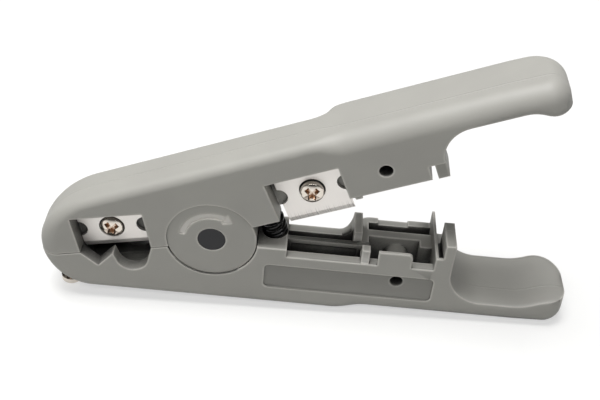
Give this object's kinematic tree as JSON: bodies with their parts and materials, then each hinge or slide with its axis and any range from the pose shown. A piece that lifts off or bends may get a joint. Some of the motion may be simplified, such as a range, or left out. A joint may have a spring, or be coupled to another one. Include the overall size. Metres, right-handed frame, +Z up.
{
  "type": "coaxial cable stripper",
  "caption": "Squeeze-to-open cable stripper and cutter: two pivoted plastic arms with a notched jaw, stripping and cutting blades, return spring and depth-setting screw.",
  "frame": {"origin": "bottom centre of the bounding box, on the surface that the tool lies on at rest", "axes": "+X along the tool from the jaws to the tails of the handles, +Y along the pivot pin from the near side to the far side, +Z up from the lower arm to the upper arm"},
  "size_m": [0.1328, 0.0186, 0.0711],
  "materials": {
    "grey_plastic": "grey moulded plastic with a fine satin grain",
    "dark_steel": "dark steel, flush face",
    "black_spring_steel": "black oxide wire",
    "blade_steel": "ground blade steel",
    "nickel_screw": "nickel plate"
  },
  "bodies": {
    "lower": {"lower_arm": "grey_plastic", "pivot_pin": "dark_steel", "return_spring": "black_spring_steel"},
    "upper": {"upper_arm": "grey_plastic", "stripping_blade": "blade_steel", "cutting_blade": "blade_steel", "stripping_blade_screw": "nickel_screw", "cutting_blade_screw": "nickel_screw"},
    "depth": {"depth_screw": "nickel_screw"}
  },
  "joints": [
    {"name": "arm_pivot", "type": "hinge", "parent": "lower", "child": "upper", "pos_m": [-0.02307, 0, 0.0221], "axis": [0, 1, 0], "range_deg": [0, 24], "stiffness_Nm_per_rad": 0.3, "springref_deg": -20.05, "deforming": ["return_spring"]},
    {"name": "depth_screw_slide", "type": "slide", "parent": "lower", "child": "depth", "axis": [0.0373, 0, 0.9993], "range_m": [0, 0.002]}
  ]
}
